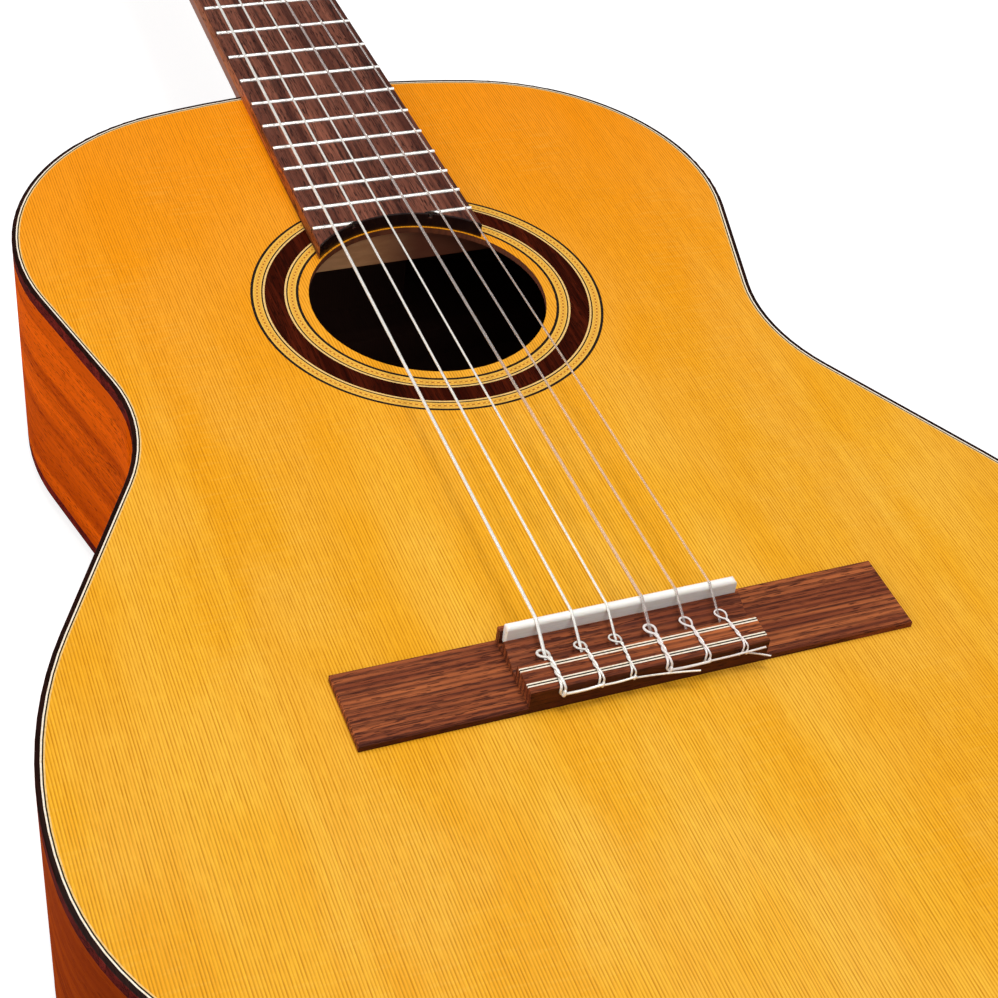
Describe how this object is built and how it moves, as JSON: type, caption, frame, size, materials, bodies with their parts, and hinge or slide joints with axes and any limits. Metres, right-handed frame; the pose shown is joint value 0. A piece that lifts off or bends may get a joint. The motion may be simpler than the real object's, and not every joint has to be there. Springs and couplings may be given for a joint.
{
  "type": "classical guitar",
  "caption": "Classical guitar with a figure-eight sound box, round soundhole, slotted head, tied strings and geared tuning machines.",
  "frame": {"origin": "centre of the soundhole on the soundboard's outer face", "axes": "+Y along the strings towards the head, +Z out of the soundboard, +X towards the treble side"},
  "size_m": [0.3646, 0.9976, 0.1173],
  "materials": {
    "spruce_top": "clear gloss over straight-grained spruce",
    "rib_wood": "clear gloss over mahogany",
    "back_wood": "clear gloss over mahogany",
    "dark_binding": "gloss rosewood",
    "purfling_lines": "dyed and plain veneer",
    "strip_wood": "gloss rosewood",
    "inner_spruce": "bare planed spruce",
    "inner_cedar": "bare sawn cedar",
    "rosette_veneers": "gloss inlay of veneers",
    "neck_wood": "satin mahogany",
    "fingerboard_wood": "oiled rosewood",
    "bridge_wood": "oiled rosewood",
    "head_veneer_wood": "gloss rosewood",
    "nickel_silver": "polished nickel silver",
    "bone": "polished bone",
    "inlay_lines": "white and black veneer lines",
    "clear_nylon": "clear nylon",
    "wound_wire": "silver-plated winding",
    "plate_metal": "polished and lacquered brass",
    "screw_steel": "nickel-plated steel",
    "gear_metal": "cut brass",
    "worm_steel": "turned steel",
    "roller_plastic": "moulded white plastic",
    "button_plastic": "moulded pearl plastic"
  },
  "bodies": {
    "root": {"soundboard": "spruce_top", "back": "back_wood", "centre_and_tail_strips": "strip_wood", "sides": "rib_wood", "top_binding": "dark_binding", "back_binding": "dark_binding", "purfling": "purfling_lines", "linings": "inner_cedar", "end_blocks": "inner_cedar", "harmonic_bars": "inner_spruce", "fan_braces": "inner_spruce", "back_braces": "inner_spruce", "rosette": "rosette_veneers", "neck": "neck_wood", "heel_cap": "dark_binding", "fingerboard": "fingerboard_wood", "frets": "nickel_silver", "nut": "bone", "saddle": "bone", "bridge": "bridge_wood", "tie_block_inlays": "inlay_lines", "head_veneer": "head_veneer_wood", "tuner_plates": "plate_metal", "tuner_screws": "screw_steel", "string_1": "clear_nylon", "string_2": "clear_nylon", "string_3": "clear_nylon", "string_4": "wound_wire", "string_5": "wound_wire", "string_6": "wound_wire"},
    "tuner_1_button": {"button_1": "button_plastic", "worm_1": "worm_steel"},
    "tuner_1_roller": {"gear_1": "gear_metal", "roller_1": "roller_plastic", "coil_1": "clear_nylon"},
    "tuner_2_button": {"button_2": "button_plastic", "worm_2": "worm_steel"},
    "tuner_2_roller": {"gear_2": "gear_metal", "roller_2": "roller_plastic", "coil_2": "clear_nylon"},
    "tuner_3_button": {"button_3": "button_plastic", "worm_3": "worm_steel"},
    "tuner_3_roller": {"gear_3": "gear_metal", "roller_3": "roller_plastic", "coil_3": "clear_nylon"},
    "tuner_4_button": {"button_4": "button_plastic", "worm_4": "worm_steel"},
    "tuner_4_roller": {"gear_4": "gear_metal", "roller_4": "roller_plastic", "coil_4": "wound_wire"},
    "tuner_5_button": {"button_5": "button_plastic", "worm_5": "worm_steel"},
    "tuner_5_roller": {"gear_5": "gear_metal", "roller_5": "roller_plastic", "coil_5": "wound_wire"},
    "tuner_6_button": {"button_6": "button_plastic", "worm_6": "worm_steel"},
    "tuner_6_roller": {"gear_6": "gear_metal", "roller_6": "roller_plastic", "coil_6": "wound_wire"}
  },
  "joints": [
    {"name": "tuner_1_turn", "type": "hinge", "parent": "root", "child": "tuner_1_button", "pos_m": [0.0415, 0.52997, -0.02164], "axis": [0, 0.2588, 0.9659], "continuous": true},
    {"name": "tuner_1_wind", "type": "hinge", "parent": "root", "child": "tuner_1_roller", "pos_m": [0.02, 0.52128, -0.01931], "axis": [1, 0, 0], "continuous": true},
    {"name": "tuner_2_turn", "type": "hinge", "parent": "root", "child": "tuner_2_button", "pos_m": [0.0415, 0.56378, -0.03069], "axis": [0, 0.2588, 0.9659], "continuous": true},
    {"name": "tuner_2_wind", "type": "hinge", "parent": "root", "child": "tuner_2_roller", "pos_m": [0.02, 0.55509, -0.02837], "axis": [1, 0, 0], "continuous": true},
    {"name": "tuner_3_turn", "type": "hinge", "parent": "root", "child": "tuner_3_button", "pos_m": [0.0415, 0.59759, -0.03975], "axis": [0, 0.2588, 0.9659], "continuous": true},
    {"name": "tuner_3_wind", "type": "hinge", "parent": "root", "child": "tuner_3_roller", "pos_m": [0.02, 0.58889, -0.03742], "axis": [1, 0, 0], "continuous": true},
    {"name": "tuner_4_turn", "type": "hinge", "parent": "root", "child": "tuner_4_button", "pos_m": [-0.0415, 0.59759, -0.03975], "axis": [0, 0.2588, 0.9659], "continuous": true},
    {"name": "tuner_4_wind", "type": "hinge", "parent": "root", "child": "tuner_4_roller", "pos_m": [-0.02, 0.58889, -0.03742], "axis": [1, 0, 0], "continuous": true},
    {"name": "tuner_5_turn", "type": "hinge", "parent": "root", "child": "tuner_5_button", "pos_m": [-0.0415, 0.56378, -0.03069], "axis": [0, 0.2588, 0.9659], "continuous": true},
    {"name": "tuner_5_wind", "type": "hinge", "parent": "root", "child": "tuner_5_roller", "pos_m": [-0.02, 0.55509, -0.02837], "axis": [1, 0, 0], "continuous": true},
    {"name": "tuner_6_turn", "type": "hinge", "parent": "root", "child": "tuner_6_button", "pos_m": [-0.0415, 0.52997, -0.02164], "axis": [0, 0.2588, 0.9659], "continuous": true},
    {"name": "tuner_6_wind", "type": "hinge", "parent": "root", "child": "tuner_6_roller", "pos_m": [-0.02, 0.52128, -0.01931], "axis": [1, 0, 0], "continuous": true}
  ],
  "couplings": [
    {"joint": "tuner_1_wind", "follows": "tuner_1_turn", "ratio": -0.071429},
    {"joint": "tuner_2_wind", "follows": "tuner_2_turn", "ratio": -0.071429},
    {"joint": "tuner_3_wind", "follows": "tuner_3_turn", "ratio": -0.071429},
    {"joint": "tuner_4_wind", "follows": "tuner_4_turn", "ratio": -0.071429},
    {"joint": "tuner_5_wind", "follows": "tuner_5_turn", "ratio": -0.071429},
    {"joint": "tuner_6_wind", "follows": "tuner_6_turn", "ratio": -0.071429}
  ]
}
